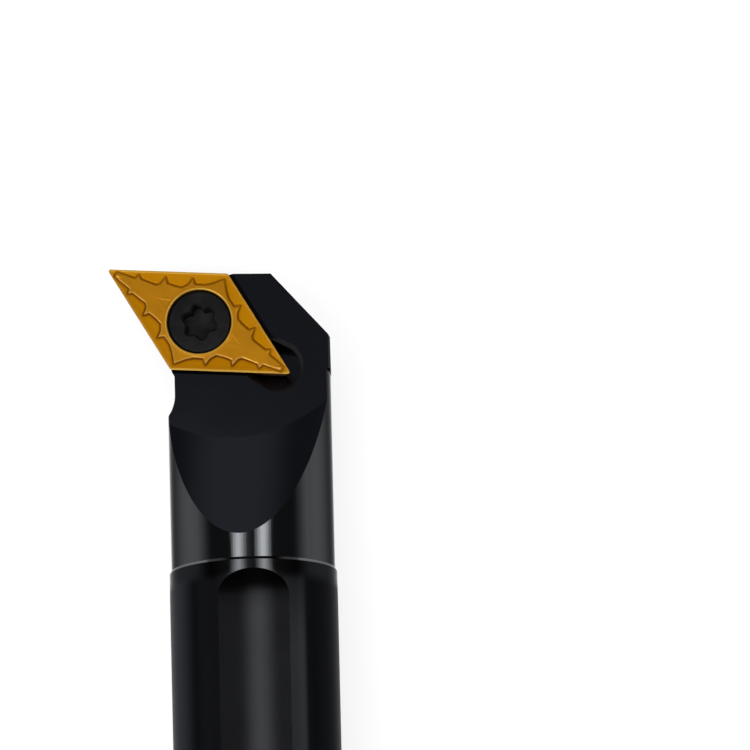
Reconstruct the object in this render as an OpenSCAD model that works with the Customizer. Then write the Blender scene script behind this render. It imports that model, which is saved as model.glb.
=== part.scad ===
// Boring bar with one 55 degree screw-clamped insert, right hand.
// The bar lies along Y with its rear end at the origin and its head towards +Y.
// +Z is up, on the side of the insert's top face, and the cutting nose is on the -X side.
// All lengths are in millimetres and all angles in degrees.

/* [Bar] */
// Diameter of the shank
shank_d = 16; // [15.9:0.05:16.3]
// Overall length, from the rear end to the gauge nose
overall_length = 180; // [120:5:250]
// Length in front of the shoulder, from the shoulder to the gauge nose
front_length = 29.58; // [28:0.01:45]
// Diameter of the relieved neck behind the head
neck_d = 15.57; // [15.2:0.01:15.8]
// Depth of the upper clamping flat, from the round of the shank
upper_flat_depth = 0.75; // [0.4:0.05:1]
// Depth of the lower clamping flat, from the round of the shank
lower_flat_depth = 0.25; // [0.22:0.01:0.6]
// Radius of the cutter that leaves the run-out at the front of the upper flat
flat_runout_r = 4.5; // [3:0.5:8]
// Distance from the shoulder to the point where the run-out leaves the shank
flat_end_gap = 1.1; // [0.6:0.1:3]
// Size of the chamfer at the rear end
rear_chamfer = 1; // [0.5:0.1:2]
// Size of the chamfer on the shoulder
shoulder_chamfer = 0.13; // [0.08:0.01:0.14]
// Drop of the shank's radius over the short band in front of the upper flat
front_band_drop = 0.02; // [0.01:0.01:0.04]

/* [Tool geometry] */
// Distance from the bar's axis to the gauge nose
nose_offset = 13; // [12:0.1:14]
// Nose radius of the gauge insert that the lengths are measured to
gauge_nose_r = 0.4; // [0.2:0.1:0.8]
// Angle by which the front cutting edge falls back from the nose
lead_angle = 4.6; // [3:0.1:6]
// Sideways tilt of the insert and of the head's top face
side_tilt = 6; // [2:0.5:9]
// Smallest bore that the head goes into
min_bore_d = 22; // [22:0.5:26]

/* [Insert] */
// Diameter of the circle that fits inside the insert's outline
insert_ic = 9.525; // [9:0.1:9.8]
// Angle of the insert's two sharp corners
insert_angle = 55; // [50:1:60]
// Thickness of the insert
insert_thickness = 3.97; // [3.5:0.01:4.4]
// Clearance angle of the insert's side faces
insert_clearance = 7; // [5:1:8]
// Nose radius of the insert
nose_r = 0.2; // [0.2:0.05:0.4]
// Diameter of the hole through the insert
insert_hole_d = 4.4; // [4.3:0.05:4.7]
// Diameter of the countersink's rim on the insert's top face
rim_d = 6.36; // [6.2:0.02:6.8]
// Width of the flat land along the cutting edges
land_w = 0.14; // [0.08:0.02:0.2]
// Slope of the chip groove, down from the land
groove_angle = 9; // [5:1:12]
// Spacing of the pointed ribs along each edge
rib_pitch = 2.6; // [2.4:0.1:2.8]
// Distance from the sharp corner to the first pointed rib
rib_start = 0.4; // [0.3:0.1:0.6]
// Angle of the countersink, side to side
sink_angle = 60; // [56:1:64]

/* [Clamp screw] */
// Outside diameter of the screw's thread
screw_d = 3.9; // [3.6:0.05:3.95]
// Diameter of the screw's head
screw_head_d = 5.84; // [5.6:0.02:5.88]
// Depth of the head's top below the insert's cutting edges
screw_sink = 0.25; // [0.15:0.05:0.4]
// Length of the screw, from the top of its head to its end
screw_length = 6.85; // [6:0.05:7.2]
// Width of the six-lobed socket across opposite lobes
socket_d = 3.34; // [3:0.02:3.6]
// Depth of the six-lobed socket
socket_depth = 1.5; // [1:0.1:1.8]

/* [Head] */
// Height of the head's top face above the insert's cutting edges
head_rise = 0.3; // [0.2:0.05:0.5]
// Distance of the head's front face behind the gauge nose
front_setback = 1.14; // [1:0.01:2]
// Angle by which the front face falls back across the bar
front_fall = 2.7; // [1:0.1:4]
// Angle by which the front face leans back below the top face
front_lean = 6; // [4:1:10]
// Distance from the bar's axis to the start of the front corner's chamfer
corner_x = 2.3; // [2:0.1:4]
// Angle of the front corner's chamfer, from the front face
corner_angle = 48.7; // [40:0.1:55]
// Distance from the bar's axis to the flat on the head's right side, at its front
side_x = 7.8; // [7.6:0.01:7.9]
// Angle by which that flat spreads towards the rear
side_spread = 0.5; // [0.3:0.1:1]
// Length of the head in front of the neck, from the gauge nose
head_length = 10.48; // [10:0.01:12]
// Distance from the bar's axis to the relief on the head's left side
left_x = 7.1; // [6.9:0.05:7.3]
// Distance from the gauge nose back to the end of that relief's straight wall
left_back = 12.48; // [12.2:0.01:14]
// Radius of the cutter that leaves that relief's run-out
left_cutter_r = 3.5; // [2.5:0.1:4]
// Distance from the gauge nose back to the foot of the scoop
scoop_back = 16.88; // [16:0.01:19]
// Slope of the scoop's floor
scoop_slope = 30.25; // [27:0.25:35]
// Radius of the scoop across the bar
scoop_r = 24.8; // [20:0.2:35]
// Sideways offset of the scoop's lowest line
scoop_x = -1.33; // [-2:0.01:0]
// Size of the chamfer round the pocket's upper edge
pocket_chamfer = 0.38; // [0.25:0.01:0.45]
// Radius of the relief round the insert's inner corner
relief_r = 2.07; // [1.8:0.01:2.2]
// Distance from the insert's inner corner to the relief's centre
relief_inset = 1.46; // [1.2:0.01:1.6]
// Distance from the insert's inner corner to where the relief leaves each wall
relief_reach = 4.15; // [3.8:0.05:4.5]
// Depth of that relief below the insert's seat
relief_depth = 0.4; // [0.3:0.1:1]
// Diameter of the tapped hole in the seat
tapped_d = 4; // [4:0.05:4.2]

/* [Fits] */
// Gap between the insert and each of the pocket's walls
wall_gap = 0.02; // [0.01:0.01:0.05]
// Gap between the insert and its seat
seat_gap = 0.01; // [0.01:0.01:0.03]
// Gap between the screw's cone and the countersink
cone_gap = 0.03; // [0.02:0.01:0.05]
// Step of the seat's edge inside the insert's lower edge
support_step = 0.25; // [0.15:0.05:0.4]
// Clearance angle of the steel under the insert
support_clearance = 10; // [8:1:14]

/* [Hidden] */
$fn = 96;
shank_r = shank_d / 2;
neck_r = neck_d / 2;
shoulder_y = overall_length - front_length;
half_angle = insert_angle / 2;
ic_r = insert_ic / 2;
// Half the insert's long diagonal, and the length of its edges
half_long = ic_r / sin(half_angle);
edge_length = insert_ic / sin(insert_angle);
// The insert's sharp corner, from the gauge nose that the bar's sizes are measured to
corner_reach = gauge_nose_r * (cos(half_angle + lead_angle) / sin(half_angle) - 1);
corner_lift = gauge_nose_r * (sin(half_angle + lead_angle) / sin(half_angle) - 1);
tip_x = -nose_offset - corner_reach;
tip_y = overall_length + corner_lift;
// The same corner in the tilted head's own directions, sideways and up
tip_u = tip_x * cos(side_tilt);
tip_w = -tip_x * sin(side_tilt);
insert_u = tip_u + half_long * cos(half_angle + lead_angle);
insert_y = tip_y - half_long * sin(half_angle + lead_angle);
top_w = tip_w + head_rise;
seat_depth = insert_thickness + seat_gap;
sink_slope = tan(sink_angle / 2);
// Length of the upper flat's run-out, and where the flat ends and the front band begins
runout_length = sqrt(upper_flat_depth * (2 * flat_runout_r - upper_flat_depth));
flat_end_y = shoulder_y - flat_end_gap - runout_length;
far = 60;

// Places its children on the tilted head, whose top face is level there
module in_head() {
    rotate([0, -side_tilt, 0]) children();
}

// Places its children on the insert's axis, level with its cutting edges,
// with X along the front cutting edge
module in_insert() {
    in_head()
        translate([insert_u, insert_y, tip_w])
            rotate([0, 0, -lead_angle]) children();
}

// Everything inside a plane that faces the given direction and leans by the given angle,
// and that stands at the given distance where the height is z
module inside_plane(direction, distance, lean, z = 0) {
    rotate([0, 0, direction])
        translate([distance, 0, z])
            rotate([0, lean, 0])
                translate([-far, -far, -far])
                    cube([far, 2 * far, 2 * far]);
}

// Turned round shape along the bar's axis
module along_bar(from_y, to_y, r) {
    translate([0, from_y, 0])
        rotate([-90, 0, 0])
            cylinder(r = r, h = to_y - from_y);
}

// Shank and neck as one turned outline, with the chamfers at the rear end and on the shoulder
module turned_blank() {
    band_r = shank_r - front_band_drop;
    rotate([-90, 0, 0])
        rotate_extrude()
            polygon([
                [0, 0],
                [shank_r - rear_chamfer, 0],
                [shank_r, rear_chamfer],
                [shank_r, flat_end_y],
                [band_r, shoulder_y - shoulder_chamfer],
                [band_r - shoulder_chamfer, shoulder_y],
                [neck_r, shoulder_y],
                [neck_r, overall_length - head_length - (shank_r - neck_r)],
                [shank_r, overall_length - head_length],
                [shank_r, overall_length + 1],
                [0, overall_length + 1]
            ]);
}

// Steel that carries the overhanging half of the insert, inside the smallest bore
module nose_block() {
    swing_r = min_bore_d / 2 - 0.4;
    back_y = overall_length - left_back + 1;
    lower_x = -4;
    lower_z = -sqrt(neck_r * neck_r - lower_x * lower_x) - 0.02;
    intersection() {
        translate([min_bore_d / 2 - nose_offset, 0, 0])
            along_bar(back_y, overall_length + 1, swing_r);
        translate([-20, back_y - 1, -20])
            cube([19, 40, 40]);
        translate([lower_x, 0, lower_z])
            rotate([0, 14, 0])
                translate([-30, 0, 0])
                    cube([60, 300, 60]);
    }
}

// Cutter path of the upper flat, with the concave run-out near the shoulder
module upper_flat_cut() {
    end_angle = asin(runout_length / flat_runout_r);
    height = shank_r - upper_flat_depth;
    steps = 10;
    arc = [for (i = [0:steps]) let (a = end_angle * i / steps)
        [flat_end_y + flat_runout_r * sin(a), height + flat_runout_r * (1 - cos(a))]];
    rotate([90, 0, 90])
        linear_extrude(height = 2 * shank_d, center = true)
            polygon(concat([[-1, height]], arc, [
                [flat_end_y + runout_length, shank_r + 1],
                [-1, shank_r + 1]
            ]));
}

// Relief along the head's left side, with the arc that its cutter leaves at the rear
module left_relief() {
    end_y = overall_length - left_back;
    steps = 12;
    arc = [for (i = [0:steps]) let (a = 90 * i / steps)
        [-left_x - left_cutter_r + left_cutter_r * cos(a), end_y - left_cutter_r * sin(a)]];
    difference() {
        translate([0, 0, -20])
            linear_extrude(height = 40)
                polygon(concat(
                    [[-left_x, overall_length + 5]],
                    arc,
                    [[-40, end_y - left_cutter_r], [-40, overall_length + 5]]
                ));
        in_insert()
            inside_plane(180 + 90 - insert_angle, flank_distance(), support_clearance, -seat_depth);
    }
}

// Distance from the insert's axis to the flank of the steel below it, at the seat
function flank_distance() = ic_r - insert_thickness * tan(insert_clearance) - support_step;

// Scoop that leads from the neck's top down to the head's top face, and that face itself
module scoop_cut() {
    in_head()
        intersection() {
            translate([-far / 2, shoulder_y - shank_r, top_w])
                cube([far, far + front_length, far / 2]);
            translate([scoop_x, overall_length - scoop_back, top_w])
                rotate([90 - scoop_slope, 0, 0])
                    translate([0, scoop_r, 0])
                        cylinder(r = scoop_r, h = 4 * far, center = true);
        }
}

// Front face, the chamfer of its right-hand corner and the flat on the right side
module front_cuts() {
    face_y = overall_length - front_setback;
    translate([corner_x, face_y, top_w]) {
        rotate([0, 0, -front_fall])
            rotate([-front_lean, 0, 0])
                translate([-far, 0, -far])
                    cube([2 * far, far, 2 * far]);
        rotate([0, 0, -corner_angle])
            translate([-far, 0, -far])
                cube([2 * far, far, 2 * far]);
    }
    translate([side_x, face_y - (side_x - corner_x) * tan(corner_angle), -far / 2])
        rotate([0, 0, side_spread])
            translate([0, -shank_r, 0])
                cube([far, 2 * far, far]);
}

// Pocket for the insert: two walls that follow its side faces, and the flat seat
module pocket_cut() {
    in_insert() {
        intersection() {
            inside_plane(90 - insert_angle, ic_r + wall_gap, insert_clearance);
            inside_plane(-90, ic_r + wall_gap, insert_clearance);
            translate([-far / 2, -far / 2, -seat_depth])
                cube([far, far, far / 2]);
        }
        intersection() {
            inside_plane(90 - insert_angle, ic_r + wall_gap, 45, head_rise - pocket_chamfer);
            inside_plane(-90, ic_r + wall_gap, 45, head_rise - pocket_chamfer);
            translate([-far / 2, -far / 2, head_rise - pocket_chamfer])
                cube([far, far, far / 2]);
        }
    }
}

// Relief round the insert's inner corner: a bore with a flare into each wall
module corner_relief() {
    low = -seat_depth - relief_depth;
    chamfer_z = head_rise - pocket_chamfer;
    in_insert()
        translate([half_long * cos(half_angle), -half_long * sin(half_angle), 0]) {
            translate([-relief_inset * cos(half_angle), relief_inset * sin(half_angle), 0]) {
                translate([0, 0, low])
                    cylinder(r = relief_r, h = 8 - low);
                translate([0, 0, chamfer_z])
                    cylinder(r1 = relief_r, r2 = relief_r + 3, h = 3);
            }
            for (side = [0, 1])
                rotate([0, 0, 180 - half_angle])
                    mirror([0, side, 0])
                        rotate([0, 0, half_angle])
                            flare(low, chamfer_z);
        }
}

// One flare, from the wall at X = relief_reach into the relief's bore, with its chamfer
// X runs along the wall from the insert's corner, and +Y is the steel's side
module flare(low, chamfer_z) {
    wall = wall_gap + 0.02;
    centre = [relief_inset * cos(half_angle), -relief_inset * sin(half_angle)];
    away = [relief_reach, 0] - centre;
    inner_r = relief_r - 0.05;
    flare_angle = asin(inner_r / norm(away)) - atan(away[1] / away[0]);
    flare_length = norm(away) * cos(asin(inner_r / norm(away)));
    meet = [relief_reach - flare_length * cos(flare_angle), flare_length * sin(flare_angle)];
    translate([0, 0, low])
        linear_extrude(height = 8 - low)
            polygon([[relief_reach, -0.6], [relief_reach, -wall], [relief_reach, 0], meet, centre]);
    translate([relief_reach, 0, chamfer_z])
        rotate([0, 0, 180 - flare_angle])
            rotate([-45, 0, 0])
                translate([0, -2, 0])
                    cube([flare_length, 3, 2]);
}

// Rhombic prism of the insert's outline, cut by its four leaning sides and four blunted corners
module insert_block(grow, top, bottom) {
    nose_cut = nose_r * (1 / sin(half_angle) - 1);
    intersection() {
        translate([-far / 2, -far / 2, bottom])
            cube([far, far, top - bottom]);
        for_planes([90, 90 - insert_angle, -90, 270 - insert_angle], ic_r + grow);
        for_planes([-half_angle, 180 - half_angle], half_long - nose_cut + grow);
        for_planes([90 - half_angle, 270 - half_angle], ic_r / cos(half_angle) - 0.12 + grow);
    }
}

// The space inside several leaning planes at one distance
module for_planes(directions, distance) {
    intersection_for(d = directions)
        inside_plane(d, distance, insert_clearance);
}

// Depth of the raised face's outline between two pointed ribs, as a share of its greatest depth
// t runs from 0 at one rib to 1 at the next
function scallop(t) = t < 0.75 ? sin(120 * t) : cos(360 * (t - 0.75));

// One quarter of the raised face's outline, along the front cutting edge
// Each point is found from its distance s along the edge and its distance d inside it
function quarter(n) = [for (k = [0:3], i = [0:n])
    if ((k > 0 || i > n / 3) && (i < n || k == 3))
        let (
            s = rib_start + (k + i / n) * rib_pitch,
            d = 0.36 + 0.045 * s + [0.34, 0.84, 0.98, 0.42][k] * scallop(i / n)
        )
        [s - half_long * cos(half_angle), ic_r - d]];

// Mirror of a point in the insert's long diagonal
function across(p) =
    let (a = -2 * half_angle)
    [p[0] * cos(a) + p[1] * sin(a), p[0] * sin(a) - p[1] * cos(a)];

function reversed(list) = [for (i = [len(list) - 1:-1:0]) list[i]];

// Whole outline of the raised face, the same along all four edges
function face_outline(n) =
    let (
        top = quarter(n),
        left = [for (p = top) across(p)],
        half = concat(reversed(left), top)
    )
    concat(half, [for (p = half) -p]);

// Bar
module bar() {
    color([0.09, 0.09, 0.10])
        difference() {
            union() {
                turned_blank();
                nose_block();
            }
            upper_flat_cut();
            translate([-far / 2, -1, lower_flat_depth - shank_r - far])
                cube([far, overall_length + 5, far]);
            scoop_cut();
            front_cuts();
            left_relief();
            pocket_cut();
            corner_relief();
            in_insert()
                translate([0, 0, -far / 2])
                    cylinder(d = tapped_d, h = far / 2);
        }
}

// Insert
module insert() {
    sink_depth = (rim_d - insert_hole_d) / 2 / sink_slope;
    color([0.80, 0.55, 0.12])
        in_insert()
            difference() {
                insert_block(0, 0, -insert_thickness);
                difference() {
                    intersection() {
                        translate([-far / 2, -far / 2, -2])
                            cube([far, far, 2.5]);
                        groove_side(90);
                        groove_side(90 - insert_angle);
                        groove_side(-90);
                        groove_side(270 - insert_angle);
                    }
                    translate([0, 0, -3])
                        linear_extrude(height = 4)
                            polygon(face_outline(8));
                }
                translate([0, 0, -insert_thickness - 1])
                    cylinder(d = insert_hole_d, h = insert_thickness + 2);
                translate([0, 0, -sink_depth])
                    cylinder(d1 = insert_hole_d, d2 = rim_d + 2 * sink_slope, h = sink_depth + 1);
            }
}

// Everything above the chip groove's slope on one side
module groove_side(direction) {
    rotate([0, 0, direction])
        translate([ic_r - land_w, 0, 0])
            rotate([0, -groove_angle, 0])
                translate([-far, -far, 0])
                    cube([far, 2 * far, far / 2]);
}

// Clamp screw
module clamp_screw() {
    thread_r = screw_d / 2;
    head_r = screw_head_d / 2;
    cone_top = (rim_d / 2 - cone_gap / cos(sink_angle / 2) - head_r) / sink_slope;
    cone_low = cone_top + (head_r - thread_r) / sink_slope;
    end_w = -screw_sink - screw_length;
    lobe_r = socket_d * 0.1;
    color([0.12, 0.12, 0.13])
        in_insert()
            difference() {
                rotate_extrude()
                    polygon([
                        [0, -screw_sink],
                        [head_r - 0.1, -screw_sink],
                        [head_r, -screw_sink - 0.1],
                        [head_r, -cone_top],
                        [thread_r, -cone_low],
                        [thread_r, end_w + 0.5],
                        [thread_r - 0.5, end_w],
                        [0, end_w]
                    ]);
                translate([0, 0, -screw_sink - socket_depth]) {
                    cylinder(d = socket_d * 0.76, h = socket_depth + 1);
                    for (a = [0:60:300])
                        rotate([0, 0, a])
                            translate([socket_d / 2 - lobe_r, 0, 0])
                                cylinder(r = lobe_r, h = socket_depth + 1);
                }
            }
}

bar();
insert();
clamp_screw();
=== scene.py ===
# %% [markdown]
# # A boring bar with a screw-clamped insert
#
# A boring bar turns the inside of a bored hole. This one is a round steel shank with a tilted head,
# and the head carries a small diamond-shaped insert that a single screw clamps. The solids of the
# three pieces come from the CAD model. This lesson models each piece again with its finer forms, and
# each new piece stands in for its solid: the bar gets broken edges, the insert gets its moulded chip
# former, and the screw gets its thread. Then it makes the finishes, the light and the floor.

import math

import bmesh
import bpy
import numpy as np
from mathutils import Matrix, Vector


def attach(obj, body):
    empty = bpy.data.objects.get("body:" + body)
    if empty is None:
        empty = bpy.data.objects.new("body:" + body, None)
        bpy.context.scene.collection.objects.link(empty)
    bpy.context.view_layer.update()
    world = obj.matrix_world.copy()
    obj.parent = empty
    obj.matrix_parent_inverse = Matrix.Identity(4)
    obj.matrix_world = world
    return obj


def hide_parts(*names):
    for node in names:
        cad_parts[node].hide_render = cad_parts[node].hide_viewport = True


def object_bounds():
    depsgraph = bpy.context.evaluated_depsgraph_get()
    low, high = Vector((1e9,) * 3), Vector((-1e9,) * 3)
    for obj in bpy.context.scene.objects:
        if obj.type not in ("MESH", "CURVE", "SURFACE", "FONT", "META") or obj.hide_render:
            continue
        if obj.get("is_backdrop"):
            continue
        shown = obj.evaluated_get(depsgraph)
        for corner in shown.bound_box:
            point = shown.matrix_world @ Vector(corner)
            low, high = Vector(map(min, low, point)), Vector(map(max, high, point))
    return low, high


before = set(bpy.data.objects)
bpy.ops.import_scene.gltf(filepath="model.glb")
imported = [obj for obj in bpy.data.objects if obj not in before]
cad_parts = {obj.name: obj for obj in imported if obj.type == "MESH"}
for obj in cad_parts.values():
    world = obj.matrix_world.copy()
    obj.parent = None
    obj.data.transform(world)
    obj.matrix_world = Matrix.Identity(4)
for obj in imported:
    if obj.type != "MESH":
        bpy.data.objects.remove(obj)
cad_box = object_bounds()
MM = 0.001
scene = bpy.context.scene
print("pieces:", sorted(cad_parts))

# %% [markdown]
# ## The camera
#
# The photograph looks almost straight down on the bar, tipped by 11 degrees towards its rear end,
# through a very long lens, so that the shank's sides stay parallel. A long lens far away does the
# same. The bar leans to the left by a little over one degree in the picture, which is a small roll
# of the camera about its own line of sight.

# %% Camera
VIEW_TILT = math.radians(11.0)
PICTURE_LEAN = math.radians(1.34)
LENS = 1200.0
SENSOR = 36.0
PICTURE_PX = 750
PX_PER_MM = 10.49
AIM = Vector((12.007, 169.17, 0.0)) * MM

across = Vector((1, 0, 0))
along = Vector((0, math.cos(VIEW_TILT), math.sin(VIEW_TILT)))
back = across.cross(along)
right = across * math.cos(PICTURE_LEAN) - along * math.sin(PICTURE_LEAN)
up = across * math.sin(PICTURE_LEAN) + along * math.cos(PICTURE_LEAN)
distance = LENS * PICTURE_PX / PX_PER_MM / SENSOR * MM

camera_data = bpy.data.cameras.new("camera")
camera_data.lens = LENS
camera_data.sensor_width = SENSOR
camera_data.clip_start = 0.05
camera_data.clip_end = 20.0
camera = bpy.data.objects.new("camera", camera_data)
turn = Matrix((right, up, back)).transposed().to_4x4()
camera.matrix_world = Matrix.Translation(AIM + back * distance) @ turn
scene.collection.objects.link(camera)
scene.camera = camera
print(f"camera {distance:.3f} m away")

# %% [markdown]
# ## Sizes that the pieces share
#
# The modelling is done in millimetres, because the operators' merge distances suit that size, and
# each finished piece is scaled to metres at the end. The insert and the screw are modelled on their
# own axis, with the cutting edges at height zero, and are then tilted and moved into the head.

# %% Shared sizes and places
SHANK_R = 8.0
NECK_R = 7.785
LENGTH = 180.0
SHOULDER_Y = 150.42
HEAD_BACK_Y = LENGTH - 12.48
NOSE_OFFSET = 13.0
SMALLEST_BORE = 22.0
SIDE_TILT = math.radians(6.0)
LEAD = math.radians(4.6)
HALF_ANGLE = math.radians(27.5)
INSERT_R = 4.7625
CLEARANCE = math.radians(7)
THICKNESS = 3.97
SEAT_DEPTH = 3.98
WALL_GAP = 0.02
HEAD_RISE = 0.3
HALF_LONG = INSERT_R / math.sin(HALF_ANGLE)

# the nose offset and the length are measured to a gauge insert with this nose radius
gauge_r = 0.4
corner_reach = gauge_r * (math.cos(HALF_ANGLE + LEAD) / math.sin(HALF_ANGLE) - 1)
corner_lift = gauge_r * (math.sin(HALF_ANGLE + LEAD) / math.sin(HALF_ANGLE) - 1)
tip = Vector((-NOSE_OFFSET - corner_reach, LENGTH + corner_lift, 0))
insert_place = Vector((
    tip.x * math.cos(SIDE_TILT) + HALF_LONG * math.cos(HALF_ANGLE + LEAD),
    tip.y - HALF_LONG * math.sin(HALF_ANGLE + LEAD),
    -tip.x * math.sin(SIDE_TILT),
))
in_head = Matrix.Rotation(-SIDE_TILT, 4, "Y")
in_insert = in_head @ Matrix.Translation(insert_place) @ Matrix.Rotation(-LEAD, 4, "Z")
print("insert axis in the head, mm:", [round(v, 3) for v in insert_place])


# %% Small helpers for working by hand in code
def only(piece):
    """Makes one object the only selected and active one."""
    bpy.ops.object.select_all(action="DESELECT")
    piece.select_set(True)
    bpy.context.view_layer.objects.active = piece


def apply_all(piece):
    """Applies every modifier of a piece, in order."""
    only(piece)
    for name in [m.name for m in piece.modifiers]:
        bpy.ops.object.modifier_apply(modifier=name)


def finish_piece(piece, name, place, body):
    """Moves a piece from its own axis into the model, turns millimetres to metres and lets it ride."""
    piece.name = name
    piece.data.name = name
    piece.matrix_world = Matrix.Scale(MM, 4) @ place
    only(piece)
    bpy.ops.object.transform_apply(location=True, rotation=True, scale=True)
    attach(piece, body)
    print(name, "has", len(piece.data.polygons), "faces")
    return piece


# %% [markdown]
# ## The bar
#
# The real bar is turned first, then milled. The same order works here. A profile of half the bar is
# spun round the axis, which gives the shank with its chamfers, the shoulder and the neck. Then
# cutters of simple shapes are taken away with booleans, as the milling cutters would do it: the two
# clamping flats, the scoop down to the head, the front faces, the relief at the left, the pocket with
# its chamfer, the relief round the insert's inner corner, and the tapped hole.

# %% Turned blank
def from_points(name, points, edges=(), faces=()):
    """A piece made straight from its points, edges and faces."""
    mesh = bpy.data.meshes.new(name)
    mesh.from_pydata([tuple(p) for p in points], list(edges), list(faces))
    piece = bpy.data.objects.new(name, mesh)
    scene.collection.objects.link(piece)
    return piece


HEAD_START = LENGTH - 10.48
UPPER_FLAT = 7.25
LOWER_FLAT = 7.75
RUN_OUT_R = 4.5
# the cutter of the upper flat leaves the shank on an arc, and this is how long the arc is
flat_depth = SHANK_R - UPPER_FLAT
run = math.sqrt(flat_depth * (2 * RUN_OUT_R - flat_depth))
FLAT_END = SHOULDER_Y - 1.1 - run
profile = [
    (0, 0), (SHANK_R - 1, 0), (SHANK_R, 1), (SHANK_R, 40), (SHANK_R, 80), (SHANK_R, 120),
    (SHANK_R, FLAT_END), (7.98, SHOULDER_Y - 0.26), (7.85, SHOULDER_Y), (NECK_R, SHOULDER_Y),
    (NECK_R, 158), (NECK_R, HEAD_START - 0.215), (SHANK_R, HEAD_START), (SHANK_R, LENGTH + 1),
    (0, LENGTH + 1),
]
bar = from_points(
    "bar_blank", [(r, y, 0) for r, y in profile], [(i, i + 1) for i in range(len(profile) - 1)]
)
only(bar)
bpy.ops.object.mode_set(mode="EDIT")
bpy.ops.mesh.select_all(action="SELECT")
bpy.ops.mesh.spin(steps=240, angle=math.tau, center=(0, 0, 0), axis=(0, 1, 0))
bpy.ops.mesh.select_all(action="SELECT")
bpy.ops.mesh.remove_doubles(threshold=0.0005)
bpy.ops.mesh.normals_make_consistent(inside=False)
bpy.ops.object.mode_set(mode="OBJECT")
print("blank faces:", len(bar.data.polygons))

# %% [markdown]
# The cutters are plain blocks and cylinders, so a few helpers make them. A prism has one outline at
# two heights, a stack has an outline that changes from height to height, and both are built from
# their points. Each is put in its place and gets its faces turned outwards, because an exact boolean
# needs to know what is inside.

# %% Cutter shapes
def settle(piece, place):
    """Puts a shape in its place and makes its faces point outwards."""
    piece.matrix_world = place
    only(piece)
    bpy.ops.object.transform_apply(location=True, rotation=True, scale=True)
    bpy.ops.object.mode_set(mode="EDIT")
    bpy.ops.mesh.select_all(action="SELECT")
    bpy.ops.mesh.normals_make_consistent(inside=False)
    bpy.ops.object.mode_set(mode="OBJECT")
    return piece


def prism(name, outline, low, high, place=Matrix()):
    """A straight block with the given outline in X and Y, between two heights."""
    n = len(outline)
    points = [(x, y, low) for x, y in outline] + [(x, y, high) for x, y in outline]
    sides = [(i, (i + 1) % n, n + (i + 1) % n, n + i) for i in range(n)]
    piece = from_points(name, points, (), sides + [tuple(range(n))[::-1], tuple(range(n, 2 * n))])
    return settle(piece, place)


def stack(name, outlines, place=Matrix()):
    """A block whose outline changes from height to height: a list of (height, outline)."""
    n = len(outlines[0][1])
    points = [(x, y, z) for z, outline in outlines for x, y in outline]
    faces = [tuple(range(n))[::-1], tuple(range(n * (len(outlines) - 1), n * len(outlines)))]
    for k in range(len(outlines) - 1):
        for i in range(n):
            j = (i + 1) % n
            faces.append((k * n + i, k * n + j, (k + 1) * n + j, (k + 1) * n + i))
    return settle(from_points(name, points, (), faces), place)


def box(name, low, high, place=Matrix()):
    """A block between two opposite corners."""
    (x0, y0, z0), (x1, y1, z1) = low, high
    return prism(name, [(x0, y0), (x1, y0), (x1, y1), (x0, y1)], z0, z1, place)


print("blocks for cutting:", ", ".join(f.__name__ for f in (prism, stack, box)))


# %% Round cutters and booleans
def round_bar(name, radius, depth, vertices, place):
    """A cylinder along Z, centred on its own origin."""
    bpy.ops.object.select_all(action="DESELECT")
    bpy.ops.mesh.primitive_cylinder_add(radius=radius, depth=depth, vertices=vertices)
    piece = bpy.context.object
    piece.name = name
    return settle(piece, place)


def combine(piece, other, operation):
    """One exact boolean, after which the other shape is gone."""
    cut = piece.modifiers.new("cut", "BOOLEAN")
    cut.operation = operation
    cut.solver = "EXACT"
    cut.object = other
    apply_all(piece)
    bpy.data.objects.remove(other, do_unlink=True)


def rotation(degrees, axis):
    """A turn about one axis."""
    return Matrix.Rotation(math.radians(degrees), 4, axis)


def move(x, y, z):
    """A shift without a turn."""
    return Matrix.Translation((x, y, z))


print("and for the round ones and the cuts:", ", ".join(f.__name__ for f in (round_bar, combine)))

# %% [markdown]
# The head reaches out past the shank on the nose side, as far as the smallest bore allows. That part
# is a second round bar, set off to the side and cut flat below, and it is joined to the blank before
# anything is cut. A slanted block trims its lower side.

# %% Nose block
BORE_GAP = 0.4
TRIM_X = 4.0
TRIM_LEAN = 14
swing_r = SMALLEST_BORE / 2 - BORE_GAP
back_y = HEAD_BACK_Y + 1
nose = round_bar(
    "nose", swing_r, LENGTH + 1 - back_y, 200,
    move(SMALLEST_BORE / 2 - NOSE_OFFSET, (LENGTH + 1 + back_y) / 2, 0) @ rotation(90, "X"),
)
combine(nose, box("nose_side", (-20, back_y - 1, -20), (-1, back_y + 40, 20)), "INTERSECT")
trim_z = -math.sqrt(NECK_R**2 - TRIM_X**2) - 0.02
trim = move(-TRIM_X, 0, trim_z) @ rotation(TRIM_LEAN, "Y")
combine(nose, box("nose_low", (-30, 0, 0), (30, 300, 60), trim), "INTERSECT")
combine(bar, nose, "UNION")
print("with the nose:", len(bar.data.polygons))

# %% [markdown]
# A holder's screws press on the upper flat. It stops just behind the shoulder, where the milling
# cutter left it in an arc. The lower flat runs along the whole bar and makes the height of 15 mm. The
# outline of the upper flat is drawn from the side, so its prism is laid across the bar.

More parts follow.
